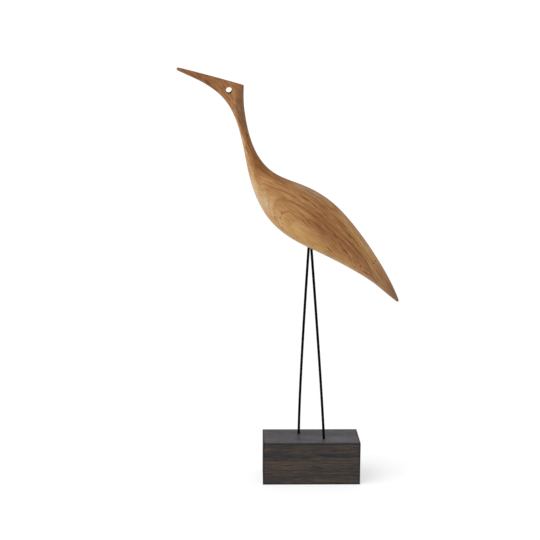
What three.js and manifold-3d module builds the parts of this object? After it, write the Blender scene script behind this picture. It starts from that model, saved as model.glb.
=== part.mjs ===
// Carved wooden heron on two bowed wires in a dark wooden block.
// Millimetres, +Z up. The origin is the centre of the block's underside, and the bird faces -X.

import * as THREE from 'three';
import { LoftGeometry } from 'three/addons/geometries/LoftGeometry.js';
import { mergeVertices } from 'three/addons/utils/BufferGeometryUtils.js';
import Module from 'manifold-3d';

// Block
const BLOCK_LENGTH = 90;
const BLOCK_DEPTH = 40;
const BLOCK_HEIGHT = 40;

// Legs: round wire, and how deep it goes into the wood at each end
const WIRE_DIAMETER = 2.4;
const WIRE_SIDES = 12;
const WIRE_STEPS = 22;
const BLOCK_SOCKET_DEPTH = 15;
const BODY_SOCKET_DEPTH = 12;
const SOCKET_GAP = 0.2;
const SOCKET_END_GAP = 0.3;

// Each wire leaves the block at its foot, bends where its two straight ends would meet, and goes into the
// belly at its hip. The bird's left is the -Y side.
const LEGS = [
  { name: 'left_leg', foot: [11.8, -7.7], bend: [9.8, 82], hip: [-1.4, -2.5, 218] },
  { name: 'right_leg', foot: [-10.9, 7.7], bend: [-10.6, 93], hip: [-3.6, 2.5, 218.5] },
];

// Eye: a hole drilled right through the head, not quite square to it: its far end on the bird's right lies
// some degrees further forwards and up
const EYE = { x: -75.7, z: 359.7, diameter: 5.4, forwards: 3.5, upwards: 5.9, sides: 32 };
const EYE_DRILL_LENGTH = 40;

// Cuts across the bird from the beak's tip to the tail's tip. Each goes from a point on the front and
// underside (throat, breast, belly) to a point on the top (crown, nape, back).
// half: half of the thickness across Y, at the widest place of the cut.
// under, over: how each end of the cut closes: 0.5 is round, less is squarer, more is keener.
const CUTS = [
  { front: [-121.8, 376.7], top: [-121.3, 379.1], half: 1.1, under: 0.5, over: 0.45 },
  { front: [-111.3, 372.0], top: [-110.4, 376.6], half: 2.2, under: 0.5, over: 0.42 },
  { front: [-100.8, 367.1], top: [-98.5, 373.6], half: 3.2, under: 0.52, over: 0.38 },
  { front: [-90.2, 360.7], top: [-86.1, 370.4], half: 4.4, under: 0.54, over: 0.34 },
  { front: [-82.4, 354.3], top: [-73.5, 367.0], half: 5.7, under: 0.54, over: 0.3 },
  { front: [-76.3, 346.8], top: [-62.4, 363.9], half: 6.4, under: 0.5, over: 0.26 },
  { front: [-71.7, 338.5], top: [-62.5, 349.0], half: 6.1, under: 0.44, over: 0.52 },
  { front: [-68.2, 329.6], top: [-60.8, 335.0], half: 5.2, under: 0.43, over: 0.64 },
  { front: [-64.9, 317.9], top: [-57.3, 319.6], half: 4.6, under: 0.44, over: 0.64 },
  { front: [-61.7, 303.0], top: [-50.4, 303.0], half: 5.5, under: 0.46, over: 0.6 },
  { front: [-58.0, 285.0], top: [-35.5, 286.8], half: 9.4, under: 0.48, over: 0.57 },
  { front: [-52.1, 266.4], top: [-9.8, 275.9], half: 14.6, under: 0.48, over: 0.55 },
  { front: [-41.4, 247.0], top: [15.1, 261.9], half: 18.6, under: 0.48, over: 0.55 },
  { front: [-21.7, 228.8], top: [35.7, 241.2], half: 20.0, under: 0.49, over: 0.55 },
  { front: [7.6, 213.7], top: [53.0, 218.2], half: 18.0, under: 0.5, over: 0.55 },
  { front: [36.9, 198.4], top: [66.4, 197.0], half: 12.6, under: 0.52, over: 0.55 },
  { front: [56.8, 185.7], top: [73.4, 184.1], half: 7.6, under: 0.54, over: 0.55 },
  { front: [69.9, 175.0], top: [77.7, 174.8], half: 3.8, under: 0.54, over: 0.54 },
  { front: [78.3, 168.4], top: [79.8, 169.5], half: 1.0, under: 0.5, over: 0.5 },
];
const CREST = 5;            // the cut that ends at the sharp corner between crown and nape
const STEPS_PER_CUT = 4;
const POINTS_ROUND = 36;
const TIP_LENGTH = 1.2;     // the last stretch of the beak and of the tail, rounded off
const TIP_SIZES = [0.35, 0.75, 1];    // sizes of the sections there, against the full one

// Materials
const WOOD = { color: 0xae7c49, roughness: 0.5, metalness: 0 };
const WIRE = { color: 0x131211, roughness: 0.4, metalness: 0.2 };
const STAINED_WOOD = { color: 0x3a3431, roughness: 0.55, metalness: 0 };

const wasm = await Module();
wasm.setup();

// Closed three.js geometry to solid
function solid(geometry) {
  const bare = new THREE.BufferGeometry().copy(geometry);
  bare.deleteAttribute('normal');
  bare.deleteAttribute('uv');
  const merged = mergeVertices(bare);
  const vertProperties = new Float32Array(merged.attributes.position.array);
  const triVerts = new Uint32Array(merged.index.array);
  return new wasm.Manifold(new wasm.Mesh({ numProp: 3, vertProperties, triVerts }));
}

// Solid to three.js geometry
function geometryOf(body) {
  const mesh = body.getMesh();
  const geometry = new THREE.BufferGeometry();
  geometry.setAttribute('position', new THREE.BufferAttribute(mesh.vertProperties, mesh.numProp));
  geometry.setIndex(new THREE.BufferAttribute(mesh.triVerts, 1));
  geometry.computeVertexNormals();
  return geometry;
}

function cut(body, tools) {
  return tools.reduce((rest, tool) => rest.subtract(tool), body);
}

// Smooth curve through values at given places: cubic pieces whose slope and curvature run on from one to
// the next, with no curvature at the two ends. Solves for the curvature at each place.
function spline(places, values) {
  const last = places.length - 1;
  const curvature = new Array(last + 1).fill(0);
  const share = new Array(last + 1).fill(0);
  for (let i = 1; i < last; i += 1) {
    const before = places[i] - places[i - 1];
    const after = places[i + 1] - places[i];
    const turn = (values[i + 1] - values[i]) / after - (values[i] - values[i - 1]) / before;
    const weight = 2 * (before + after) - before * share[i - 1];
    share[i] = after / weight;
    curvature[i] = (6 * turn - before * curvature[i - 1]) / weight;
  }
  for (let i = last - 1; i > 0; i -= 1) {
    curvature[i] -= share[i] * curvature[i + 1];
  }
  return (place) => {
    let i = 0;
    while (i < last - 1 && place > places[i + 1]) i += 1;
    const step = places[i + 1] - places[i];
    const to = (place - places[i]) / step;
    const from = 1 - to;
    const bulge = (from ** 3 - from) * curvature[i] + (to ** 3 - to) * curvature[i + 1];
    return from * values[i] + to * values[i + 1] + (bulge * step * step) / 6;
  };
}

// Place of each cut along the bird: the mean of the distances run on its front and on its top
function cutPlaces() {
  const places = [0];
  for (let i = 1; i < CUTS.length; i += 1) {
    const steps = ['front', 'top'].map((side) => {
      const [x, z] = CUTS[i][side];
      const [lastX, lastZ] = CUTS[i - 1][side];
      return Math.hypot(x - lastX, z - lastZ);
    });
    places.push(places[i - 1] + (steps[0] + steps[1]) / 2);
  }
  return places;
}

// The bird's outline and thickness at any place. The top line is two curves that meet at the crest.
function birdForm(places) {
  const whole = (pick) => spline(places, CUTS.map(pick));
  const parted = (pick) => {
    const crown = spline(places.slice(0, CREST + 1), CUTS.slice(0, CREST + 1).map(pick));
    const nape = spline(places.slice(CREST), CUTS.slice(CREST).map(pick));
    return (place) => (place < places[CREST] ? crown(place) : nape(place));
  };
  return {
    frontX: whole((each) => each.front[0]),
    frontZ: whole((each) => each.front[1]),
    topX: parted((each) => each.top[0]),
    topZ: parted((each) => each.top[1]),
    half: whole((each) => each.half),
    under: whole((each) => each.under),
    over: whole((each) => each.over),
  };
}

// One closed section. Along the cut, from 0 in front to 1 on top, the thickness follows the product of two
// powers, one of the way from each end, so the widest place lies towards the squarer end.
// The size shrinks the section about its middle for the rounded tips.
function section(form, place, size) {
  const front = new THREE.Vector3(form.frontX(place), 0, form.frontZ(place));
  const top = new THREE.Vector3(form.topX(place), 0, form.topZ(place));
  const middle = front.clone().lerp(top, 0.5);
  const under = form.under(place);
  const over = form.over(place);
  const widest = under / (under + over);
  const half = form.half(place);
  return Array.from({ length: POINTS_ROUND }, (_, i) => {
    const angle = (2 * Math.PI * i) / POINTS_ROUND;
    const along = (1 + Math.cos(angle)) / 2;
    const thick = half * (along / widest) ** under * ((1 - along) / (1 - widest)) ** over;
    const point = front.clone().lerp(top, along);
    point.y = angle < Math.PI ? -thick : thick;
    return point.sub(middle).multiplyScalar(size).add(middle);
  });
}

// Size of a section near a tip, so that the end is a quarter ellipse
function tipSize(distance) {
  if (distance >= TIP_LENGTH) return 1;
  return Math.sqrt(1 - (1 - distance / TIP_LENGTH) ** 2);
}

function birdLoft() {
  const places = cutPlaces();
  const form = birdForm(places);
  const end = places.at(-1);
  const tips = TIP_SIZES.map((size) => TIP_LENGTH * (1 - Math.sqrt(1 - size ** 2)));
  const stops = [...tips, ...tips.map((place) => end - place)];
  for (let i = 0; i < places.length - 1; i += 1) {
    for (let step = 0; step < STEPS_PER_CUT; step += 1) {
      stops.push(places[i] + ((places[i + 1] - places[i]) * step) / STEPS_PER_CUT);
    }
  }
  const inside = stops.filter((place) => place >= tips[0] && place <= end - tips[0]);
  inside.sort((a, b) => a - b);
  const sections = inside.map((place) => section(form, place, tipSize(Math.min(place, end - place))));
  return new LoftGeometry(sections, { closed: true, capStart: true, capEnd: true });
}

// Point at another height on the straight line through two points
function carriedTo(from, towards, height) {
  const share = (height - from.z) / (towards.z - from.z);
  return from.clone().lerp(towards, share);
}

// Round rod along a leg's line: straight in the block, one even bow in the open, straight in the belly
function legRod(leg, radius, extra) {
  const foot = new THREE.Vector3(leg.foot[0], leg.foot[1], BLOCK_HEIGHT);
  const hip = new THREE.Vector3(...leg.hip);
  const rise = (leg.bend[1] - foot.z) / (hip.z - foot.z);
  const bend = new THREE.Vector3(leg.bend[0], THREE.MathUtils.lerp(foot.y, hip.y, rise), leg.bend[1]);
  const lowerEnd = carriedTo(foot, bend, foot.z - BLOCK_SOCKET_DEPTH - extra);
  const upperEnd = carriedTo(hip, bend, hip.z + BODY_SOCKET_DEPTH + extra);
  const line = new THREE.CurvePath();
  line.add(new THREE.LineCurve3(lowerEnd, foot));
  line.add(new THREE.QuadraticBezierCurve3(foot, bend, hip));
  line.add(new THREE.LineCurve3(hip, upperEnd));
  const round = new THREE.Shape(ring(radius, WIRE_SIDES));
  return new THREE.ExtrudeGeometry(round, { steps: WIRE_STEPS, bevelEnabled: false, extrudePath: line });
}

function ring(radius, sides) {
  return Array.from({ length: sides }, (_, i) => {
    const angle = (2 * Math.PI * i) / sides;
    return new THREE.Vector2(radius * Math.cos(angle), radius * Math.sin(angle));
  });
}

function legSockets() {
  return LEGS.map((leg) => solid(legRod(leg, WIRE_DIAMETER / 2 + SOCKET_GAP, SOCKET_END_GAP)));
}

// Rod that leaves the eye's hole: square to the head at first, then turned forwards and up
function eyeHole() {
  const radius = EYE.diameter / 2;
  const rod = new THREE.CylinderGeometry(radius, radius, EYE_DRILL_LENGTH, EYE.sides);
  rod.rotateZ(THREE.MathUtils.degToRad(EYE.forwards));
  rod.rotateX(THREE.MathUtils.degToRad(EYE.upwards));
  rod.translate(EYE.x, 0, EYE.z);
  return solid(rod);
}

function part(name, geometry, finish) {
  const mesh = new THREE.Mesh(geometry, new THREE.MeshStandardMaterial(finish));
  mesh.name = name;
  return mesh;
}

function carvedHeron() {
  const body = cut(solid(birdLoft()), [eyeHole(), ...legSockets()]);
  return part('carved_heron', geometryOf(body), WOOD);
}

function baseBlock() {
  const box = new THREE.BoxGeometry(BLOCK_LENGTH, BLOCK_DEPTH, BLOCK_HEIGHT);
  box.translate(0, 0, BLOCK_HEIGHT / 2);
  return part('base_block', geometryOf(cut(solid(box), legSockets())), STAINED_WOOD);
}

const heron = new THREE.Group();
heron.add(carvedHeron());
for (const leg of LEGS) {
  heron.add(part(leg.name, legRod(leg, WIRE_DIAMETER / 2, 0), WIRE));
}
heron.add(baseBlock());

export default heron;
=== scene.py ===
"""Looks of the carved heron: figured wood, black wire legs and a dark stained block, in a pale studio.

Metres in the scene, millimetres in the tables, +Z up. The bird faces -X and shows its left flank.
"""

import math

import bpy
import numpy as np
from mathutils import Matrix, Vector


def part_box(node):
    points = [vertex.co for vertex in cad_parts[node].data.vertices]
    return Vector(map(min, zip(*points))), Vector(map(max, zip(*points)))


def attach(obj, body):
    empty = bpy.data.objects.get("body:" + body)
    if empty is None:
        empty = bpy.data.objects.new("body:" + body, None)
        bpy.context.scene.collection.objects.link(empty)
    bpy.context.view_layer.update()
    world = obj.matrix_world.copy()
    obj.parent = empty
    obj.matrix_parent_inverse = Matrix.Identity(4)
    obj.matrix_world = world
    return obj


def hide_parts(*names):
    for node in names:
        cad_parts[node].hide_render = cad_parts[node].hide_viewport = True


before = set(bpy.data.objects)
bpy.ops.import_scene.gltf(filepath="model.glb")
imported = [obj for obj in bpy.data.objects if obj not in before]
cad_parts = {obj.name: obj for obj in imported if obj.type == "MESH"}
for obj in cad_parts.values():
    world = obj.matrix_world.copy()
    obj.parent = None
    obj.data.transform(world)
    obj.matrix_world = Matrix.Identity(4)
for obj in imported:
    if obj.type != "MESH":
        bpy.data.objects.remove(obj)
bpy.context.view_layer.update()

MM = 0.001

# Photograph: its frame, the camera that was solved from the block's corners, and how near and how far that
# camera sees
PHOTO_PIXELS = 540
FOCAL_PIXELS = 1006.0
SENSOR_MM = 36.0
CAMERA_PLACE_MM = (-54.3, -902.6, 355.9)
CAMERA_PITCH_DEG = -9.907
CAMERA_YAW_DEG = 0.985
CAMERA_ROLL_DEG = 0.217
NEAREST_MM, FARTHEST_MM = 10.0, 100000.0

# Cuts across the bird from beak to tail, in millimetres, as in the frame's carving:
# front x, front z, top x, top z, half thickness, closing of the under end, closing of the top end.
# The closing powers: 0.5 is round, less is squarer, more is keener.
CUTS = np.array([
    (-121.8, 376.7, -121.3, 379.1, 1.1, 0.50, 0.45),
    (-111.3, 372.0, -110.4, 376.6, 2.2, 0.50, 0.42),
    (-100.8, 367.1, -98.5, 373.6, 3.2, 0.52, 0.38),
    (-90.2, 360.7, -86.1, 370.4, 4.4, 0.54, 0.34),
    (-82.4, 354.3, -73.5, 367.0, 5.7, 0.54, 0.30),
    (-76.3, 346.8, -62.4, 363.9, 6.4, 0.50, 0.26),
    (-71.7, 338.5, -62.5, 349.0, 6.1, 0.44, 0.52),
    (-68.2, 329.6, -60.8, 335.0, 5.2, 0.43, 0.64),
    (-64.9, 317.9, -57.3, 319.6, 4.6, 0.44, 0.64),
    (-61.7, 303.0, -50.4, 303.0, 5.5, 0.46, 0.60),
    (-58.0, 285.0, -35.5, 286.8, 9.4, 0.48, 0.57),
    (-52.1, 266.4, -9.8, 275.9, 14.6, 0.48, 0.55),
    (-41.4, 247.0, 15.1, 261.9, 18.6, 0.48, 0.55),
    (-21.7, 228.8, 35.7, 241.2, 20.0, 0.49, 0.55),
    (7.6, 213.7, 53.0, 218.2, 18.0, 0.50, 0.55),
    (36.9, 198.4, 66.4, 197.0, 12.6, 0.52, 0.55),
    (56.8, 185.7, 73.4, 184.1, 7.6, 0.54, 0.55),
    (69.9, 175.0, 77.7, 174.8, 3.8, 0.54, 0.54),
    (78.3, 168.4, 79.8, 169.5, 1.0, 0.50, 0.50),
])
CREST = 5
CREST_ROUND = 1.1
TIP_LENGTH = 1.2
BIRD_SECTIONS = 400
BIRD_POINTS = 128
ROUNDING_STEPS = 9
SAME_PLACE = 1e-6

# Eye: drilled through the head, its far end further forwards and up, with a softened rim
EYE_X, EYE_Z = -75.7, 359.7
EYE_RADIUS = 2.7
EYE_FORWARDS_DEG = 3.5
EYE_UPWARDS_DEG = 5.9
EYE_RIM = 0.4
EYE_SIDES = 64
DRILL_REACH = 20.0
FLARE_CLEARANCE, FLARE_SPREAD = 0.98, 1.6
WALL_TOLERANCE = 1.002

# Legs: wire, with the height of its domed ends and the place of the ring in each dome as shares of the
# radius, then its sockets, and each wire's foot, bend and hip
WIRE_RADIUS = 1.2
WIRE_SIDES = 32
WIRE_STEPS = 80
DOME_HEIGHT = 0.15
DOME_RING_HEIGHT, DOME_RING_RADIUS = 0.6 * DOME_HEIGHT, 0.8
SOCKET_RADIUS = 1.25
SOCKET_STEPS = 60
SOCKET_END_GAP = 0.3
BLOCK_SOCKET_DEPTH = 15.0
BODY_SOCKET_DEPTH = 12.0
LEGS = {
    "left_leg": ((11.8, -7.7), (9.8, 82.0), (-1.4, -2.5, 218.0)),
    "right_leg": ((-10.9, 7.7), (-10.6, 93.0), (-3.6, 2.5, 218.5)),
}

# Block: its height, and its rounded edges on a grid of about so many millimetres
BLOCK_HEIGHT = 40.0
BLOCK_GRID = 4.0
ARRIS_RADIUS = 0.3
ARRIS_STEPS = 5
WELD_DISTANCE = 0.01

# Studio: half of the floor, the surroundings as the camera sees them and as a light, and two soft suns
FLOOR_HALF = 30000.0
WHITE = (1.0, 1.0, 1.0, 1.0)
SKY_SEEN = 1.05
SKY_COLOUR, SKY_LIGHT = (0.97, 0.98, 1.0, 1.0), 0.62
SUNS = {
    "window": {"from_direction": (-0.75, -0.5, 0.95), "strength": 1.7, "spread_deg": 50},
    "left_fill": {"from_direction": (-1.0, -0.2, 0.15), "strength": 0.8, "spread_deg": 60},
}


# Surfaces

def spline(places, values):
    """Natural cubic spline through rows of values: on each span the straight line between its two rows,
    plus two cubic bulges weighted by the curvatures that keep slope and curvature unbroken."""
    steps = np.diff(places)
    slopes = np.diff(values, axis=0) / steps[:, None]
    inner = np.arange(1, len(steps))
    matrix = np.eye(len(places))
    matrix[inner, inner - 1] = steps[:-1]
    matrix[inner, inner] = 2 * (steps[:-1] + steps[1:])
    matrix[inner, inner + 1] = steps[1:]
    turns = np.zeros_like(values)
    turns[1:-1] = 6 * np.diff(slopes, axis=0)
    curvature = np.linalg.solve(matrix, turns)

    def at(place):
        """The spline's values at an array of places."""
        i = np.clip(np.searchsorted(places, place) - 1, 0, len(steps) - 1)
        step = steps[i][:, None]
        to = (place - places[i])[:, None] / step
        back = 1 - to
        bulge = (back ** 3 - back) * curvature[i] + (to ** 3 - to) * curvature[i + 1]
        return back * values[i] + to * values[i + 1] + bulge * step ** 2 / 6

    return at


def cut_places():
    """Place of each cut: the mean of the distances run along the front line and along the top line."""
    front = np.linalg.norm(np.diff(CUTS[:, 0:2], axis=0), axis=1)
    top = np.linalg.norm(np.diff(CUTS[:, 2:4], axis=0), axis=1)
    return np.concatenate([[0], np.cumsum((front + top) / 2)])


def top_line(places, at):
    """The crown's spline up to the crest, the nape's and back's spline after it, and between the two a
    parabola whose control point is the crest's corner."""
    crest = places[CREST]
    crown = spline(places[:CREST + 1], CUTS[:CREST + 1, 2:4])
    nape = spline(places[CREST:], CUTS[CREST:, 2:4])
    line = np.where((at < crest)[:, None], crown(np.minimum(at, crest)), nape(np.maximum(at, crest)))
    start = crown(np.array([crest - CREST_ROUND]))
    end = nape(np.array([crest + CREST_ROUND]))
    to = np.clip((at - crest + CREST_ROUND) / (2 * CREST_ROUND), 0, 1)[:, None]
    rounded = (1 - to) ** 2 * start + 2 * to * (1 - to) * CUTS[CREST, 2:4] + to ** 2 * end
    return np.where((np.abs(at - crest) < CREST_ROUND)[:, None], rounded, line)


def bird_surface():
    """Grid over the bird, in millimetres, by place along it and angle round it.

    From front to top a section's thickness is half * (v / w)^under * ((1 - v) / (1 - w))^over, where
    v = (1 + cos angle) / 2 and w = under / (under + over). Near the two tips each section shrinks about
    its middle by the height of a quarter ellipse.
    """
    places = cut_places()
    end = places[-1]
    tip = TIP_LENGTH * (1 - np.cos(np.linspace(0, np.pi / 2, ROUNDING_STEPS)))
    crest = places[CREST] + CREST_ROUND * np.linspace(-1, 1, ROUNDING_STEPS)
    at = np.union1d(np.linspace(0, end, BIRD_SECTIONS), np.concatenate([tip, end - tip, crest]))
    at = at[np.concatenate([[True], np.diff(at) > SAME_PLACE])]
    front = spline(places, CUTS[:, 0:2])(at)
    top = top_line(places, at)
    half, under, over = (column[:, None] for column in spline(places, CUTS[:, 4:7])(at).T)
    angle = 2 * np.pi * np.arange(BIRD_POINTS) / BIRD_POINTS
    along = (1 + np.cos(angle)) / 2
    widest = under / (under + over)
    thick = half * (along / widest) ** under * ((1 - along) / (1 - widest)) ** over
    from_tip = np.minimum(at, end - at)
    size = np.sqrt(1 - np.clip(1 - from_tip / TIP_LENGTH, 0, 1) ** 2)[:, None]
    middle = (front + top)[:, None, :] / 2
    flat = front[:, None, :] + (top - front)[:, None, :] * along[None, :, None]
    flat = middle + (flat - middle) * size[:, :, None]
    side = np.where(angle < np.pi, -thick, thick) * size
    return np.stack([flat[..., 0], side, flat[..., 1]], axis=2)


def skin(grid, name):
    """Closed mesh over a grid of rings whose first and last rings are single points: quads between the
    rings, and triangles to the two poles."""
    rings, points = grid.shape[:2]
    body = grid[1:-1].reshape(-1, 3)
    vertices = np.vstack([body, grid[0].mean(axis=0), grid[-1].mean(axis=0)])
    ring = np.arange(rings - 3)[:, None] * points
    this = np.arange(points)[None, :]
    after = (this + 1) % points
    quads = np.stack([ring + this, ring + after, ring + points + after, ring + points + this], axis=2)
    first, last = len(body), len(body) + 1
    first_fan = np.stack([np.full(points, first), after[0], this[0]], axis=1)
    last_ring = (rings - 3) * points
    last_fan = np.stack([np.full(points, last), last_ring + this[0], last_ring + after[0]], axis=1)
    return mesh_object(name, vertices, [quads.reshape(-1, 4), first_fan, last_fan])


def mesh_object(name, vertices, face_groups):
    """Object at the origin from vertices in millimetres and groups of faces of one size each."""
    mesh = bpy.data.meshes.new(name)
    loops = np.concatenate([group.ravel() for group in face_groups]).astype(np.int32)
    sizes = np.concatenate([np.full(len(group), group.shape[1]) for group in face_groups])
    starts = np.concatenate([[0], np.cumsum(sizes)[:-1]]).astype(np.int32)
    mesh.vertices.add(len(vertices))
    mesh.vertices.foreach_set("co", (vertices * MM).astype(np.float32).ravel())
    mesh.loops.add(len(loops))
    mesh.loops.foreach_set("vertex_index", loops)
    mesh.polygons.add(len(sizes))
    mesh.polygons.foreach_set("loop_start", starts)
    mesh.update(calc_edges=True)
    mesh.validate()
    made = bpy.data.objects.new(name, mesh)
    bpy.context.scene.collection.objects.link(made)
    return made


def turned(profile, sides, centre, axis, name):
    """Profile of (distance along axis, radius) carried round an axis that isn't upright: closed at both ends
    by poles."""
    axis = np.asarray(axis, float) / np.linalg.norm(axis)
    first = np.cross(axis, [0.0, 0.0, 1.0])
    first /= np.linalg.norm(first)
    second = np.cross(axis, first)
    angle = 2 * np.pi * np.arange(sides) / sides
    spoke = np.cos(angle)[:, None] * first + np.sin(angle)[:, None] * second
    profile = np.asarray(profile, float)
    grid = (np.asarray(centre, float) + profile[:, 0, None, None] * axis
            + profile[:, 1, None, None] * spoke[None])
    return skin(grid, name)


def wire_line(leg, steps, extra=0.0):
    """Middle line of a leg: straight in the block, a parabola from foot to hip, straight in the belly. Each
    end may go a little further than its depth."""
    (foot_x, foot_y), (bend_x, bend_z), hip = LEGS[leg]
    foot = np.array([foot_x, foot_y, BLOCK_HEIGHT])
    hip = np.array(hip)
    rise = (bend_z - foot[2]) / (hip[2] - foot[2])
    bend = np.array([bend_x, foot_y + (hip[1] - foot_y) * rise, bend_z])
    low = foot + (bend - foot) * -(BLOCK_SOCKET_DEPTH + extra) / (bend[2] - foot[2])
    high = hip + (hip - bend) * (BODY_SOCKET_DEPTH + extra) / (hip[2] - bend[2])
    to = np.linspace(0, 1, steps)[:, None]
    bow = (1 - to) ** 2 * foot + 2 * to * (1 - to) * bend + to ** 2 * hip
    return np.vstack([low, bow, high])


def wire(leg, radius, steps, name, extra=0.0):
    """Round rod: a ring of the given radius carried along the leg's line, its ends domed by one smaller
    ring and a pole."""
    line = wire_line(leg, steps, extra)
    tangent = np.gradient(line, axis=0)
    tangent /= np.linalg.norm(tangent, axis=1)[:, None]
    first = np.cross(tangent, [0.0, 1.0, 0.0])
    first /= np.linalg.norm(first, axis=1)[:, None]
    second = np.cross(tangent, first)
    angle = 2 * np.pi * np.arange(WIRE_SIDES) / WIRE_SIDES
    spoke = np.cos(angle)[None, :, None] * first[:, None] + np.sin(angle)[None, :, None] * second[:, None]
    low, high = line[0] - tangent[0] * radius * DOME_HEIGHT, line[-1] + tangent[-1] * radius * DOME_HEIGHT
    low_ring = line[0] - tangent[0] * radius * DOME_RING_HEIGHT + DOME_RING_RADIUS * radius * spoke[0]
    high_ring = line[-1] + tangent[-1] * radius * DOME_RING_HEIGHT + DOME_RING_RADIUS * radius * spoke[-1]
    grid = np.concatenate([
        np.broadcast_to(low, (1, WIRE_SIDES, 3)),
        low_ring[None],
        line[:, None, :] + radius * spoke,
        high_ring[None],
        np.broadcast_to(high, (1, WIRE_SIDES, 3)),
    ])
    return skin(grid, name)


def block_face(axis, sign, half):
    """One face of a box about the origin, as a grid of points and its quads. Each point is pulled in to a
    smaller box, then pushed out from it by the edge radius, so flats stay flat and edges become arcs."""
    others = [other for other in range(3) if other != axis]
    soft = ARRIS_RADIUS * np.sin(np.linspace(0, np.pi / 2, ARRIS_STEPS))
    rows = []
    for other in others:
        flat = half[other] - ARRIS_RADIUS
        inner = np.linspace(-flat, flat, int(2 * half[other] / BLOCK_GRID))[1:-1]
        rows.append(np.concatenate([-flat - soft[::-1], inner, flat + soft]))
    point = np.empty((len(rows[0]), len(rows[1]), 3))
    point[..., axis] = sign * half[axis]
    point[..., others[0]] = rows[0][:, None]
    point[..., others[1]] = rows[1][None, :]
    core = np.clip(point, ARRIS_RADIUS - half, half - ARRIS_RADIUS)
    out = point - core
    point = core + ARRIS_RADIUS * out / np.linalg.norm(out, axis=2, keepdims=True)
    index = np.arange(len(rows[0]) * len(rows[1])).reshape(len(rows[0]), len(rows[1]))
    quads = np.stack([index[:-1, :-1], index[1:, :-1], index[1:, 1:], index[:-1, 1:]], axis=2)
    quads = quads.reshape(-1, 4)
    outward = sign * (-1 if axis == 1 else 1) > 0
    return point.reshape(-1, 3), quads if outward else quads[:, ::-1]


def rounded_block(name):
    """Box with rounded edges: its six faces, joined where their rims meet."""
    low, high = (np.array(corner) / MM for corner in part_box("base_block"))
    centre, half = (low + high) / 2, (high - low) / 2
    vertices, faces = [], []
    count = 0
    for axis in range(3):
        for sign in (-1, 1):
            points, quads = block_face(axis, sign, half)
            vertices.append(points + centre)
            faces.append(quads + count)
            count += len(points)
    made = mesh_object(name, np.vstack(vertices), faces)
    weld(made)
    return made


def weld(made):
    """Merges the vertices that lie on each other."""
    modifier = made.modifiers.new("weld", "WELD")
    modifier.merge_threshold = WELD_DISTANCE * MM
    settle(made)


def settle(made):
    """Applies an object's modifiers to its mesh."""
    evaluated = made.evaluated_get(bpy.context.evaluated_depsgraph_get())
    mesh = bpy.data.meshes.new_from_object(evaluated)
    made.modifiers.clear()
    made.data = mesh


def carve(made, cutters):
    """Takes the cutters out of an object, and removes them."""
    for cutter in cutters:
        modifier = made.modifiers.new(cutter.name, "BOOLEAN")
        modifier.operation = "DIFFERENCE"
        modifier.solver = "EXACT"
        modifier.object = cutter
    settle(made)
    for cutter in cutters:
        bpy.data.objects.remove(cutter)


def shade_smooth(made, sharp_deg=40.0):
    """Smooth shading, broken only where faces meet at more than the given angle."""
    made.data.polygons.foreach_set("use_smooth", np.ones(len(made.data.polygons), bool))
    made.data.set_sharp_from_angle(angle=math.radians(sharp_deg))


def socket_cutters(label):
    """A thicker and slightly longer wire in place of each leg, to be taken out of the wood."""
    return [wire(leg, SOCKET_RADIUS, SOCKET_STEPS, f"{label}_{leg}", extra=SOCKET_END_GAP) for leg in LEGS]


def cheek(grid, side):
    """Depth and outward normal of the skin at the eye, on one side (-1 or 1). The normal is the cross
    product of the skin's differences along the bird and round it."""
    half = BIRD_POINTS // 2
    band = grid[:, 1:half] if side < 0 else grid[:, half + 1:]
    distance = np.hypot(band[..., 0] - EYE_X, band[..., 2] - EYE_Z)
    i, j = np.unravel_index(np.argmin(distance), distance.shape)
    along, around = 3, 2
    normal = np.cross(band[i + along, j] - band[i - along, j], band[i, j + around] - band[i, j - around])
    normal /= np.linalg.norm(normal)
    return band[i, j, 1], normal * np.sign(normal[1] * side)


def eye_axis():
    """Direction of the drilled eye, from the bird's left to its right."""
    forwards, upwards = math.radians(EYE_FORWARDS_DEG), math.radians(EYE_UPWARDS_DEG)
    return np.array([-math.tan(forwards), 1.0, math.tan(upwards)])


def eye_cutters(grid):
    """The drill, and on each cheek a flare whose profile is a quarter circle, tangent to the drill's wall
    and to the skin. The flare goes on for one more rim's depth inside the hole, just clear of its wall, and
    for one rim's height outside."""
    middle, axis = np.array([EYE_X, 0, EYE_Z]), eye_axis()
    drill = [(-DRILL_REACH, 0), (-DRILL_REACH, EYE_RADIUS), (DRILL_REACH, EYE_RADIUS), (DRILL_REACH, 0)]
    bend = np.linspace(0, np.pi / 2, ROUNDING_STEPS)
    lip = zip(EYE_RIM * (np.sin(bend) - 1), EYE_RADIUS + EYE_RIM * (1 - np.cos(bend)))
    flare = [
        (-2 * EYE_RIM, 0),
        (-2 * EYE_RIM, EYE_RADIUS * FLARE_CLEARANCE),
        *lip,
        (EYE_RIM, EYE_RADIUS + FLARE_SPREAD * EYE_RIM),
        (EYE_RIM, 0),
    ]
    cutters = [turned(drill, EYE_SIDES, middle, axis, "eye_drill")]
    for side in (-1, 1):
        depth, normal = cheek(grid, side)
        cutters.append(turned(flare, EYE_SIDES, middle + axis * depth, normal, f"eye_rim_{side}"))
    return cutters


def line_eye(bird, wall):
    """Gives the drilled wall its own finish: the faces whose middles lie within the drill's radius of its
    axis."""
    mesh = bird.data
    middle = np.empty(len(mesh.polygons) * 3, np.float32)
    mesh.polygons.foreach_get("center", middle)
    middle = middle.reshape(-1, 3) / MM - (EYE_X, 0, EYE_Z)
    axis = eye_axis() / np.linalg.norm(eye_axis())
    beside = middle - (middle @ axis)[:, None] * axis
    inside = np.linalg.norm(beside, axis=1) < EYE_RADIUS * WALL_TOLERANCE
    mesh.materials.append(wall)
    mesh.polygons.foreach_set("material_index", inside.astype(np.int32))


# Materials

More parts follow.
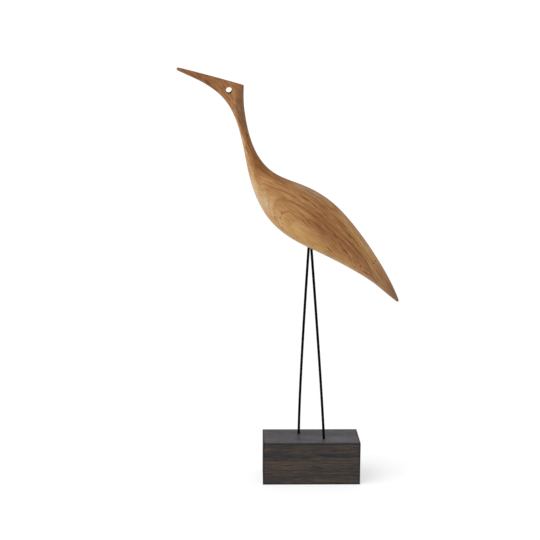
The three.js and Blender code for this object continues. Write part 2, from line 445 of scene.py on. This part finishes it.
class Value:
    """An output socket in a material. Sums written with it add their Math nodes."""

    def __init__(self, finish, socket):
        self.finish = finish
        self.socket = socket

    def math(self, operation, *others):
        """Math node of this value and the others."""
        inputs = dict(enumerate((self, *others)))
        return self.finish.node("Math", {"operation": operation}, inputs)

    def __add__(self, other):
        return self.math("ADD", other)

    def __sub__(self, other):
        return self.math("SUBTRACT", other)

    def __rsub__(self, other):
        return self.finish.node("Math", {"operation": "SUBTRACT"}, {0: other, 1: self})

    def __mul__(self, other):
        return self.math("MULTIPLY", other)

    def __truediv__(self, other):
        return self.math("DIVIDE", other)

    def __pow__(self, other):
        return self.math("POWER", other)

    __radd__ = __add__
    __rmul__ = __mul__

    def smooth(self, low, high):
        """0 below low, 1 above high, an even S between; low may be the larger, which turns it round."""
        settings = {"interpolation_type": "SMOOTHSTEP"}
        inputs = {"Value": self, "From Min": low, "From Max": high}
        return self.finish.node("MapRange", settings, inputs)

    def within(self, start, full, *fall):
        """0 before the start and 1 from full on. With two more values, 1 as far as the first of them and 0
        after the second."""
        rise = self.smooth(start, full)
        return rise * self.smooth(*reversed(fall)) if fall else rise


class Finish:
    """A material being made. All its nodes come from one method."""

    def __init__(self, name):
        self.material = bpy.data.materials.new(name)
        self.material.use_nodes = True
        self.tree = self.material.node_tree
        self.tree.nodes.clear()

    def node(self, kind, settings=None, inputs=None, output=0):
        """New node of a kind, with its settings first and then its sockets' values or links. Gives one of its
        outputs, if it has any."""
        made = self.tree.nodes.new("ShaderNode" + kind)
        for key, value in (settings or {}).items():
            if key == "stops":
                self.set_stops(made.color_ramp, value)
            else:
                setattr(made, key, value)
        for key, value in (inputs or {}).items():
            if isinstance(value, Value):
                self.tree.links.new(value.socket, made.inputs[key])
            else:
                made.inputs[key].default_value = value
        return Value(self, made.outputs[output]) if made.outputs else None

    @staticmethod
    def set_stops(ramp, stops):
        """Gives a colour ramp its stops, each a place and a colour."""
        while len(ramp.elements) < len(stops):
            ramp.elements.new(1.0)
        for element, (place, colour) in zip(ramp.elements, stops):
            element.position = place
            element.color = colour

    def blend(self, factor, first, second, way="MIX"):
        """Colour that goes from first to second with the factor."""
        settings = {"data_type": "RGBA", "blend_type": way, "clamp_factor": True}
        return self.node("Mix", settings, {0: factor, 6: first, 7: second}, output=2)

    def ramp(self, factor, colours):
        """Colour that runs through the given ones, each with its place from 0 to 1."""
        stops = [(place, seen(*colour)) for place, colour in colours]
        return self.node("ValToRGB", {"stops": stops}, {0: factor})

    def place_mm(self):
        """The point's place in millimetres."""
        place = self.node("TexCoord", output="Object")
        return self.node("VectorMath", {"operation": "SCALE"}, {0: place, "Scale": 1 / MM})

    def dot(self, vector, direction):
        """How far a vector reaches in a direction."""
        inputs = {0: vector, 1: tuple(direction)}
        return self.node("VectorMath", {"operation": "DOT_PRODUCT"}, inputs, output="Value")

    def axes(self, place):
        """The place's x, y and z."""
        return [self.dot(place, axis) for axis in np.eye(3).tolist()]

    def noise(self, x, y, z, detail=2.0, roughness=0.5):
        """Smooth noise about 0, from about -0.5 to 0.5, at a place given by three values. Its waves are about
        1 to 2 long in those values, so a small factor on one of them draws the waves out that way."""
        at = self.node("CombineXYZ", None, {0: x, 1: y, 2: z})
        inputs = {"Vector": at, "Scale": 1.0, "Detail": detail, "Roughness": roughness}
        return self.node("TexNoise", None, inputs) - 0.5

    def shade(self, colour, roughness, height, bump_mm, specular, **others):
        """Principled shader and output. The bump's distance is in millimetres, and the other inputs go by the
        shader's own names."""
        bump = {"Height": height, "Distance": bump_mm * MM, "Strength": 1.0}
        normal = self.node("Bump", None, bump)
        inputs = {"Base Color": colour, "Roughness": roughness, "Normal": normal}
        inputs.update({"Specular IOR Level": specular}, **others)
        shader = self.node("BsdfPrincipled", None, inputs)
        self.node("OutputMaterial", None, {"Surface": shader})
        return self.material


def seen(red, green, blue):
    """Colour as a screen shows it, 0 to 255, in light values with full alpha."""
    shown = np.array([red, green, blue]) / 255
    light = np.where(shown < 0.04045, shown / 12.92, ((shown + 0.055) / 1.055) ** 2.4)
    return (*light.tolist(), 1.0)


# Grain of the bird's plank, in millimetres. It runs down towards the tail from a middle place, and its rings
# lie round a heart line outside the carving, behind its right flank. The heart line bends in the body, by
# so much for each 100 mm and its square, turns down the neck and turns back again in the head.
GRAIN_DEG = 42.7
GRAIN = (math.cos(math.radians(GRAIN_DEG)), 0.0, -math.sin(math.radians(GRAIN_DEG)))
CROSS = (math.sin(math.radians(GRAIN_DEG)), 0.0, math.cos(math.radians(GRAIN_DEG)))
GRAIN_MIDDLE = -190.0
HEART_CROSS, HEART_CROSS_SLOPE, HEART_CROSS_BEND = 181.1, 23.7, -22.7
HEART_DEPTH, HEART_DEPTH_SLOPE, HEART_DEPTH_BEND = 35.0, -8.6, 12.3
NECK_FROM, NECK_SLOPE = -0.42, -32.0
HEAD_FROM, HEAD_SLOPE = -0.90, 25.0
TURN_SOFTNESS = 0.25

# Rings: the thin dark lines' spacing, the radius of one of them and the two radii between which they fade,
# then the broader bands that show on the left flank, as radius and tone, where 0.5 is the wood's own tone
RING_WIDTH = 1.3
RING_LINE = 52.45
RING_FADE = (54.3, 55.0)
BAND_FROM, BAND_SPAN = 40.0, 20.0
BAND_DEPTH = 0.6
BANDS = [
    (42.0, 0.50), (42.8, 0.53), (43.8, 0.45), (44.6, 0.52), (45.7, 0.60), (46.5, 0.55), (47.3, 0.40),
    (47.9, 0.42), (48.4, 0.49), (48.9, 0.43), (49.5, 0.49), (50.2, 0.59), (50.8, 0.50), (51.2, 0.43),
    (51.8, 0.57), (52.5, 0.40), (53.2, 0.54), (53.7, 0.50), (54.2, 0.40), (54.9, 0.55), (55.7, 0.50),
]

# Dark flecks on the left flank: place along, place across, half length, slant in degrees, depth of tone
FLECK_HALF_WIDTH = 0.5
FLECKS = [
    (46.7, 183.2, 4.2, -13, 0.60),
    (54.2, 181.4, 6.0, -13, 0.35),
    (62.7, 179.6, 5.4, -9, 0.35),
    (70.2, 177.6, 5.2, -21, 0.50),
    (52.4, 170.8, 5.4, -4, 0.75),
    (90.0, 177.4, 3.8, 3, 0.95),
    (82.5, 178.3, 2.6, -12, 0.55),
    (94.7, 178.8, 1.4, 5, 0.60),
    (89.8, 188.4, 1.3, 30, 0.90),
    (90.4, 191.0, 1.3, 7, 0.65),
    (56.5, 191.9, 2.8, -20, 0.30),
    (63.7, 189.1, 2.6, -20, 0.30),
    (18.0, 173.5, 6.4, -9, 0.45),
    (11.0, 177.0, 4.6, 8, 0.30),
    (19.0, 177.0, 6.0, -7, 0.25),
    (-140.4, 201.2, 5.0, 6, 0.45),
    (-127.1, 205.2, 6.0, 2, 0.40),
    (-117.2, 204.9, 7.0, -4, 0.40),
    (-93.0, 206.2, 6.0, -31, 0.60),
    (-85.4, 200.3, 5.6, -33, 0.30),
    (-73.7, 195.8, 6.2, -19, 0.35),
    (-62.9, 186.0, 8.7, -26, 0.25),
    (-60.0, 187.6, 7.0, -24, 0.20),
]

# Tone of the plain flank, from 0 for the darkest wood to 1 for the palest, and how much lighter than it, or
# darker, each area of the bird is
FLANK_TONE = 0.65
AREA_TONES = {
    # belly: partly paler wood, partly painted light from the floor below
    "belly": 0.19,
    # breast and collar: partly pale wood, partly painted sheen; throat: painted sheen on the neck's front
    # edge
    "breast": 0.11,
    "collar": 0.18,
    "throat": 0.12,
    # back strip: partly paler wood, partly painted light where the back turns up
    "back_strip": 1.0,
    # under the tail: painted light from the floor below
    "under_tail": 0.10,
    "oval": 0.025,
    "heart": -0.14,
    "shoulder": -0.16,
    "neck": -0.12,
    "beak": -0.10,
    "crown": -0.06,
    # nape: partly darker wood, partly painted shade
    "nape": -0.13,
    "tail": -0.04,
    # tail's tip: painted shade where it turns away from the light
    "tail_tip": -0.23,
}

# Where each area lies along the grain: from where it starts to where it is full, and, if it also ends, to
# where it is full last and where it has ended
AREA_SPANS = {
    "belly": (-55, -35, 42, 62),
    "breast": (-55, -35, -18, -5),
    "neck_front": (-98, -86, -45, -25),
    "throat": (-50, -60),
    "under_tail": (50, 75),
    "oval": (-10, 0, 30, 50),
    "heart": (5, 30, 95, 120),
    "shoulder": (-64, -48, -26, -6),
    "back_strip": (-28, -6),
    "back_edge": (-36, -20, 8, 22),
    "rump": (60, 115),
    "golden": (-5, 10),
    "tail": (84, 104),
    "tail_tip": (106, 126),
    "neck": (-40, -60),
    "beak": (-112, -140),
    "nape": (-68, -88),
    "crown": (-140, -130),
}

# Slanting lines on the flank: the place across the grain at a place along it, and the fall from there on. One
# bounds the front of the neck, and the other is the middle of the dark heart, which has a half width.
FRONT_ACROSS, FRONT_ALONG, FRONT_FALL = 201.3, -92.0, 0.606
DARK_ACROSS, DARK_ALONG, DARK_FALL, DARK_HALF = 183.7, 25.0, 0.05, 13.5

# Slanting lines on the head: the direction that they are measured in, and where the wood changes along it
CHEEK_LINE = (1.0, 0.0, -0.16), (-127, -123)
NAPE_LINE = (1.0, 0.0, 0.3), (31, 35)
CROWN_LINE = (0.258, 0.0, 1.0), (346.1, 347.3)

# Colours of the bird's wood, from the darkest tone to the palest, and a grey blended into it: the wood's own
# grey on the tail, and grey with the painted shade at the tail's tip and the nape
WOOD_COLOURS = [
    (0.00, (60, 42, 30)),
    (0.20, (104, 68, 40)),
    (0.35, (124, 82, 46)),
    (0.50, (140, 95, 54)),
    (0.62, (153, 111, 66)),
    (0.78, (174, 133, 83)),
    (0.90, (183, 148, 103)),
    (1.00, (194, 164, 122)),
]
GREY_WOOD_AND_SHADE = (124, 98, 74)

# Tints: what the wood's red, green and blue are multiplied by. The silvery tint is partly painted sheen, and
# the pearly one is painted sheen.
ROSY = (1.045, 0.94, 0.96, 1.0)
SILVERY_AND_SHEEN = (0.97, 1.03, 1.20, 1.0)
PAINTED_SHEEN_TINT = (0.96, 1.06, 1.50, 1.0)
GOLDEN = (1.02, 0.98, 0.87, 1.0)
RUDDY = (1.035, 0.95, 0.84, 1.0)

# Eye's wall, dark partly as end grain and partly as painted shade inside the narrow hole, and wires
DRILLED_COLOURS = (38, 28, 22), (66, 48, 35)
LACQUER_COLOURS = (4, 4, 5), (10, 9, 10)

# Block: heights and half widths of its dark and its brown layer, its stain, where painted shade darkens it
# beside an edge, as distances beyond a face, the painted sheen on its top, and a brighter patch of that sheen
DARK_LAYER, DARK_LAYER_HALF = 30.0, 3.5
BROWN_LAYER, BROWN_LAYER_HALF = 22.0, 6.0
STAIN_COLOURS = [
    (0.00, (14, 15, 20)),
    (0.25, (31, 27, 30)),
    (0.50, (48, 40, 36)),
    (0.75, (64, 52, 41)),
    (1.00, (86, 66, 48)),
]
# Painted shade beside the block's edges: where it starts and where it is full, as distances beyond a face
EDGE_SHADE_REACH = (-2.3, -0.5)
PAINTED_SHEEN_COLOURS = (56, 53, 57), (90, 87, 92)
PATCH_PLACE, PATCH_HALF = (25, -9), (13, 9)

# Floor: its two greys and its own light
FLOOR_GREYS = (0.44, 0.44, 0.44, 1.0), (0.46, 0.46, 0.46, 1.0)
FLOOR_LIGHT = 0.58


def heart_line(reach):
    """Place of the heart line across the grain and in depth, less its own two constants. Along the grain,
    in hundreds of millimetres, it follows a square law in the body, falls straight down the neck and rises
    straight in the head, with a soft turn between one and the next."""
    body = reach.math("SMOOTH_MAX", NECK_FROM, TURN_SOFTNESS)
    head = reach.math("SMOOTH_MIN", HEAD_FROM, TURN_SOFTNESS) - HEAD_FROM
    across = body * HEART_CROSS_SLOPE + body * body * HEART_CROSS_BEND
    across = across + (reach - body) * NECK_SLOPE + head * HEAD_SLOPE
    return across, body * HEART_DEPTH_SLOPE + body * body * HEART_DEPTH_BEND


def rings(finish, radius, along):
    """Thin dark lines where rings end, and the broader bands of tone under them.

    A ring's phase is the fraction of (radius - line) / width. Its darkness is the phase's cube, cut off
    short of 1, and noise fades it in and out along the grain. The bands run through the table of tones by
    radius, with a little noise over them.
    """
    phase = ((radius - RING_LINE) / RING_WIDTH).math("FRACT")
    line = phase ** 3 * phase.smooth(1.0, 0.92)
    strength = finish.noise(radius * 0.9, along * 0.02, 3.0, detail=2.0).smooth(-0.2, 0.2)
    broken = finish.noise(radius * 1.6, along * 0.2, 5.0, detail=1.0).smooth(-0.15, 0.1)
    line = line * strength * (broken * 0.7 + 0.3) * (1 - radius.smooth(*RING_FADE) * 0.85)
    stops = [((at - BAND_FROM) / BAND_SPAN, (tone, tone, tone, 1.0)) for at, tone in BANDS]
    bands = finish.node("ValToRGB", {"stops": stops}, {0: (radius - BAND_FROM) / BAND_SPAN}) - 0.5
    cloud = finish.noise(radius * 0.5, along * 0.004, 7.0, detail=4.0, roughness=0.7)
    return line, bands * BAND_DEPTH + cloud * 0.2


def flecks(finish, along, across, ragged):
    """Short dark strokes: each is 1 on its own line and falls to 0 at the ragged edge of an ellipse."""
    flat = finish.node("CombineXYZ", None, {0: along, 1: across})
    strokes = []
    for middle_along, middle_across, half_length, slant_deg, tone in FLECKS:
        inputs = {
            "Vector": flat,
            "Location": (middle_along, middle_across, 0.0),
            "Rotation": (0.0, 0.0, math.radians(slant_deg)),
            "Scale": (half_length, FLECK_HALF_WIDTH, 1.0),
        }
        inside = finish.node("Mapping", {"vector_type": "TEXTURE"}, inputs)
        away = finish.node("VectorMath", {"operation": "LENGTH"}, {0: inside}, output="Value")
        strokes.append((away + ragged).smooth(1.0, 0.4) * tone)
    return sum(strokes)


def areas(finish, place, along, across, beside, radius, ripple, streak):
    """Areas of the bird that differ from the plain flank, each 0 outside and 1 inside, apart from the back's
    strip, which is as strong as its tone. Each lies within its span along the grain and within places across
    the grain, or from the heart line, in millimetres. Noise makes their edges uneven."""
    span = {name: along.within(*places) for name, places in AREA_SPANS.items()}
    # The tail's tip is darkened with painted shade where it turns away from the light
    area = {name: span[name] for name in ("neck", "beak", "tail_tip")}
    edge = across + ripple * 5 + streak * 4

    # Underside: belly, breast, and the front of the neck, before a line that slants up it. The belly's
    # lightening is partly paler wood and partly painted light from the floor below.
    area["belly"] = edge.smooth(178, 160) * span["belly"]
    # The breast: paler partly as wood and partly as painted sheen
    area["breast"] = edge.smooth(176, 160) * span["breast"]
    front_line = edge + (along - FRONT_ALONG) * FRONT_FALL - FRONT_ACROSS
    # The neck's front: paler partly as wood and partly as painted sheen, with painted sheen alone at its very
    # edge, the throat
    area["collar"] = front_line.smooth(5.8, -1) * span["neck_front"]
    area["throat"] = front_line.smooth(3.5, -1.5) * span["throat"] * span["neck_front"]
    # The tail's underside: painted light from the floor below
    area["under_tail"] = (beside.smooth(-1, -9) + beside.smooth(-12, -18) * 0.8) * span["under_tail"]

    # Flank: the oval figure, and the dark heart behind it
    area["oval"] = beside.smooth(0, -5) * span["oval"]
    dark_line = across + (along - DARK_ALONG) * DARK_FALL - DARK_ACROSS
    area["heart"] = (dark_line / DARK_HALF).math("ABSOLUTE").smooth(1, 0) * span["heart"]

    # Back: the shoulder; the pale strip, partly paler wood and partly painted light where the back turns up,
    # with painted sheen on its edge; the rump, which carries that painted sheen too; and the tail
    shoulder = (radius + along * 0.03).smooth(48.5, 47.5) * front_line.smooth(1, 7)
    area["shoulder"] = shoulder * span["shoulder"]
    strip_edge = beside + along.smooth(20, 120) * 15 + ripple * 4 + streak * 3
    strip = strip_edge.smooth(9, 15) * span["back_strip"]
    area["back_strip"] = strip * (along.smooth(20, 60) * 0.13 + 0.03)
    area["back_edge"] = beside.smooth(9, 15) * span["back_edge"]
    area["rump"] = beside.smooth(8, 2) * span["rump"] * 0.5
    golden = (beside - along * 0.1).smooth(-14, -21) * span["golden"]
    area["golden"] = golden + area["back_strip"] * along.smooth(40, 65) * 3
    area["tail"] = beside.smooth(-6, 1) * span["tail"]

    # Head: the nape lies behind two lines that meet at the back of the cheek, and the crown above a third.
    # The nape's darker, greyer tone is partly darker wood and partly painted shade on the facet that turns
    # away from the light.
    (cheek_way, cheek_places), (nape_way, nape_places) = CHEEK_LINE, NAPE_LINE
    behind_cheek = (finish.dot(place, cheek_way) + ripple * 2).smooth(*cheek_places)
    area["nape"] = behind_cheek * finish.dot(place, nape_way).smooth(*nape_places) * span["nape"]
    crown_way, crown_places = CROWN_LINE
    area["crown"] = finish.dot(place, crown_way).smooth(*crown_places) * span["crown"]
    return area


def heron_wood():
    """Solid wood that runs through the bird. A point's radius is its distance from the bent heart line, made
    uneven by noise. Rings follow the radius; streaks, fibres, dashes and pores follow the grain, each finer
    than the last; and the areas of the bird shift the tone and the hue."""
    finish = Finish("heron_wood")
    place = finish.place_mm()
    along = finish.dot(place, GRAIN) - GRAIN_MIDDLE
    across = finish.dot(place, CROSS)
    depth = finish.dot(place, (0.0, 1.0, 0.0))

    heart_across, heart_depth = heart_line(along / 100)
    beside = across - heart_across - HEART_CROSS
    behind = depth - heart_depth - HEART_DEPTH
    wander = finish.noise(along * 0.03, beside * 0.07, behind * 0.07, detail=2.0)
    ripple = finish.noise(along * 0.10, beside * 0.5, behind * 0.5, detail=3.0, roughness=0.55)
    radius = (beside * beside + behind * behind) ** 0.5 + wander * 0.7 + ripple * 0.5
    ring_line, bands = rings(finish, radius, along)

    streak = finish.noise(along * 0.02, beside * 0.45, behind * 0.45, detail=3.0, roughness=0.6)
    fibre = finish.noise(along * 0.08, beside * 0.9, behind * 0.9, detail=3.0, roughness=0.6)
    dash = finish.noise(along * 0.12, beside * 1.2, behind * 1.2, detail=1.0).smooth(0.06, 0.24)
    pore = finish.noise(along * 0.24, beside * 4.2, behind * 4.2, detail=1.0).smooth(0.14, 0.28)

    # The figure is strong in the oval, and weak towards the breast and where the rings close below the tail
    area = areas(finish, place, along, across, beside, radius, ripple, streak)
    front = along.smooth(-2, -24)
    closing = beside.smooth(1, -6) * along.smooth(36, 48)
    figure = (1 - front * 0.65 + area["oval"] * 0.5) * (1 - closing * 0.75)
    lively = beside.smooth(-2, 6) + area["neck"] * 0.6

    tone = FLANK_TONE
    for name, lighter in AREA_TONES.items():
        tone = area[name] * lighter + tone
    tone = tone + bands * figure + streak * 0.3 + fibre * (lively * 0.4 + 0.5) - ring_line * 0.5 * figure
    tone = tone - dash * (area["heart"] + area["back_strip"] + 0.25) * 0.18 - pore * 0.14
    tone = tone - flecks(finish, along, across, fibre * 1.2) * depth.smooth(2, -2)
    # Grey blended in: the wood's own grey on the tail, and grey with the painted shade at the tail's tip and
    # the nape
    grey_and_shade = area["tail"] * 0.2 + area["tail_tip"] * 0.35 + area["nape"] * 0.3
    colour = finish.blend(grey_and_shade, finish.ramp(tone, WOOD_COLOURS), seen(*GREY_WOOD_AND_SHADE))

    tint = WHITE
    # The silvery tint on the breast and collar is partly painted sheen; the pearly one on the back's edge and
    # the rump is painted sheen
    hues = [
        (streak + 0.5, ROSY),
        (area["breast"] + area["collar"] * 0.5, SILVERY_AND_SHEEN),
        (area["back_edge"] + area["rump"], PAINTED_SHEEN_TINT),
        (area["golden"], GOLDEN),
        (area["shoulder"], RUDDY),
    ]
    for share, hue in hues:
        tint = finish.blend(share, tint, hue)
    colour = finish.blend(1.0, colour, tint, "MULTIPLY")
    height = fibre * 0.3 - pore - ring_line * 0.3
    rough = 0.46 + fibre * 0.15 + pore * 0.2
    return finish.shade(colour, rough, height, bump_mm=0.04, specular=0.2)


def eye_wall():
    """End grain inside the drilled eye, dark partly as end grain and partly as painted shade inside the
    narrow hole: the drill's marks run round it.
    """
    finish = Finish("eye_wall")
    x, y, z = finish.axes(finish.place_mm())
    turns = finish.noise(x * 0.5, y * 4, z * 0.5, detail=2.0)
    darker_wall, lighter_wall = DRILLED_COLOURS
    colour = finish.blend(turns + 0.5, seen(*darker_wall), seen(*lighter_wall))
    return finish.shade(colour, 0.85 + turns * 0.1, turns, bump_mm=0.03, specular=0.0)


def black_wire():
    """Black lacquer on drawn wire: faint marks run up it, and fine specks cover it."""
    finish = Finish("wire_lacquer")
    x, y, z = finish.axes(finish.place_mm())
    drawn = finish.noise(x * 3, y * 3, z * 0.2, detail=3.0)
    speck = finish.noise(x * 6, y * 6, z * 6, detail=2.0)
    deep, thin = LACQUER_COLOURS
    colour = finish.blend(drawn + 0.5, seen(*deep), seen(*thin))
    rough = 0.5 + drawn * 0.2
    return finish.shade(colour, rough, speck + drawn, bump_mm=0.004, specular=0.03)


def stained_block():
    """Wood whose layers lie nearly level: they show as lines on the sides and as broad figures on top."""
    finish = Finish("block_stain")
    x, y, z = finish.axes(finish.place_mm())
    low, high = (np.array(corner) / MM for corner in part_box("base_block"))

    # Layers that wave, then streaks, fine grain and dark open lines in them
    wave = finish.noise(x * 0.03, y * 0.05, z * 0.08, detail=2.0)
    level = z - y * 0.1 + wave * 7
    layer = finish.noise(x * 0.012, y * 0.1, level * 0.25, detail=1.0)
    streak = finish.noise(x * 0.042, y * 0.13, level * 1.1, detail=4.0, roughness=0.75)
    fine = finish.noise(x * 0.11, y * 0.5, level * 2.4, detail=2.0, roughness=0.6)
    line = finish.noise(x * 0.035, y * 0.16, level * 0.95, detail=2.0).smooth(0.06, 0.15)
    dark_layer = ((level - DARK_LAYER) / DARK_LAYER_HALF).math("ABSOLUTE").smooth(1, 0)
    brown_layer = ((level - BROWN_LAYER) / BROWN_LAYER_HALF).math("ABSOLUTE").smooth(1, 0)

    # Painted shade along every arris: near an edge the point is close to two of the box's faces at once
    near = [((value - (a + b) / 2).math("ABSOLUTE") - (b - a) / 2).smooth(*EDGE_SHADE_REACH)
            for value, a, b in zip((x, y, z), low.tolist(), high.tolist())]
    edge_shade = near[0] * near[1] + near[1] * near[2] + near[2] * near[0]

    tone = 0.53 + layer * 0.6 + streak * 1.7 + fine * 1.8 - line * 0.3
    tone = tone - dark_layer * 0.24 + brown_layer * 0.14 - edge_shade * (0.42 + streak * 0.8)
    colour = finish.ramp(tone, STAIN_COLOURS)

    # Painted sheen on the top, where the surroundings' light glances off it: the top is greyer, its front
    # half paler, with a brighter patch of the sheen beside the left leg's foot
    top = z.smooth(BLOCK_HEIGHT - 1, BLOCK_HEIGHT - 0.1)
    away_x = (x - PATCH_PLACE[0]) / PATCH_HALF[0]
    away_y = (y - PATCH_PLACE[1]) / PATCH_HALF[1]
    away = (away_x ** 2 + away_y ** 2) ** 0.5
    patch = (away + streak).smooth(1.1, 0.3)
    pale = 0.35 + streak * 2.2 + patch * 0.6 + y.smooth(4, -8) * 0.25
    dull, bright = PAINTED_SHEEN_COLOURS
    painted_sheen = finish.blend(pale, seen(*dull), seen(*bright))
    colour = finish.blend(top * (0.7 - edge_shade * 0.55), colour, painted_sheen)
    height = fine * 0.5 - line
    rough = 0.5 + fine * 0.2
    return finish.shade(colour, rough, height, bump_mm=0.06, specular=0.3)


def pale_floor():
    """Even grey that gives a little light of its own, so that it meets the surroundings without an edge."""
    finish = Finish("pale_floor")
    x, y, _ = finish.axes(finish.place_mm())
    cloud = finish.noise(x * 0.002, y * 0.002, 0.0)
    darker, paler = FLOOR_GREYS
    colour = finish.blend(cloud + 0.5, darker, paler)
    lift = {"Emission Color": WHITE, "Emission Strength": FLOOR_LIGHT}
    return finish.shade(colour, 0.9 + cloud * 0.1, cloud, bump_mm=0.0, specular=0.0, **lift)


# Pieces

def dress(made, material, node):
    """Gives a piece its material and smooth shading, and puts it in place of its solid."""
    made.data.materials.clear()
    made.data.materials.append(material)
    shade_smooth(made)
    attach(made, "root")
    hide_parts(node)


def carved_bird():
    """The bird with its drilled eye and the sockets in its belly."""
    grid = bird_surface()
    bird = skin(grid, "heron_carving")
    carve(bird, [*eye_cutters(grid), *socket_cutters("belly")])
    dress(bird, heron_wood(), "carved_heron")
    line_eye(bird, eye_wall())


def wire_legs():
    """The two wires, which share one lacquer."""
    lacquer = black_wire()
    for leg in LEGS:
        dress(wire(leg, WIRE_RADIUS, WIRE_STEPS, f"{leg}_wire"), lacquer, leg)


def block():
    """The block with its sockets."""
    made = rounded_block("block_wood")
    carve(made, socket_cutters("block"))
    dress(made, stained_block(), "base_block")


# Studio

def camera():
    """The photograph's camera: turned by its yaw, then its pitch, then rolled about its line of sight."""
    pitch, yaw, roll = (math.radians(angle) for angle in (CAMERA_PITCH_DEG, CAMERA_YAW_DEG, CAMERA_ROLL_DEG))
    ahead = Vector((math.sin(yaw) * math.cos(pitch), math.cos(yaw) * math.cos(pitch), math.sin(pitch)))
    level = Vector((math.cos(yaw), -math.sin(yaw), 0))
    upright = level.cross(ahead)
    right = level * math.cos(roll) + upright * math.sin(roll)
    up = upright * math.cos(roll) - level * math.sin(roll)
    data = bpy.data.cameras.new("camera")
    data.sensor_fit = "HORIZONTAL"
    data.sensor_width = SENSOR_MM
    data.lens = FOCAL_PIXELS / PHOTO_PIXELS * SENSOR_MM
    data.clip_start, data.clip_end = NEAREST_MM * MM, FARTHEST_MM * MM
    made = bpy.data.objects.new("camera", data)
    turn = Matrix((right, up, -ahead)).transposed().to_4x4()
    made.matrix_world = Matrix.Translation(Vector(CAMERA_PLACE_MM) * MM) @ turn
    bpy.context.scene.collection.objects.link(made)
    bpy.context.scene.camera = made


def floor():
    """One wide level square."""
    half = FLOOR_HALF
    corners = np.array([(-half, -half, 0), (half, -half, 0), (half, half, 0), (-half, half, 0)])
    made = mesh_object("floor", corners, [np.array([[0, 1, 2, 3]])])
    made.data.materials.append(pale_floor())


def sun(name, from_direction, strength, spread_deg):
    """Soft parallel light: the wider its spread, the softer its shadows."""
    data = bpy.data.lights.new(name, "SUN")
    data.energy = strength
    data.angle = math.radians(spread_deg)
    made = bpy.data.objects.new(name, data)
    made.rotation_mode = "QUATERNION"
    made.rotation_quaternion = Vector(from_direction).to_track_quat("Z", "Y")
    bpy.context.scene.collection.objects.link(made)


def surroundings():
    """Even white surroundings, brighter to the camera than as a light."""
    world = bpy.data.worlds.new("surroundings")
    bpy.context.scene.world = world
    world.use_nodes = True
    nodes, links = world.node_tree.nodes, world.node_tree.links
    nodes.clear()
    path = nodes.new("ShaderNodeLightPath")
    shown = nodes.new("ShaderNodeBackground")
    shown.inputs["Color"].default_value = WHITE
    shown.inputs["Strength"].default_value = SKY_SEEN
    light = nodes.new("ShaderNodeBackground")
    light.inputs["Color"].default_value = SKY_COLOUR
    light.inputs["Strength"].default_value = SKY_LIGHT
    mix = nodes.new("ShaderNodeMixShader")
    out = nodes.new("ShaderNodeOutputWorld")
    links.new(path.outputs["Is Camera Ray"], mix.inputs[0])
    links.new(light.outputs[0], mix.inputs[1])
    links.new(shown.outputs[0], mix.inputs[2])
    links.new(mix.outputs[0], out.inputs["Surface"])


def studio():
    """Camera, floor and lights, with colours shown as they are."""
    camera()
    floor()
    surroundings()
    for name, settings in SUNS.items():
        sun(name, **settings)
    bpy.context.scene.view_settings.view_transform = "Standard"
    bpy.context.scene.view_settings.look = "None"


carved_bird()
wire_legs()
block()
studio()
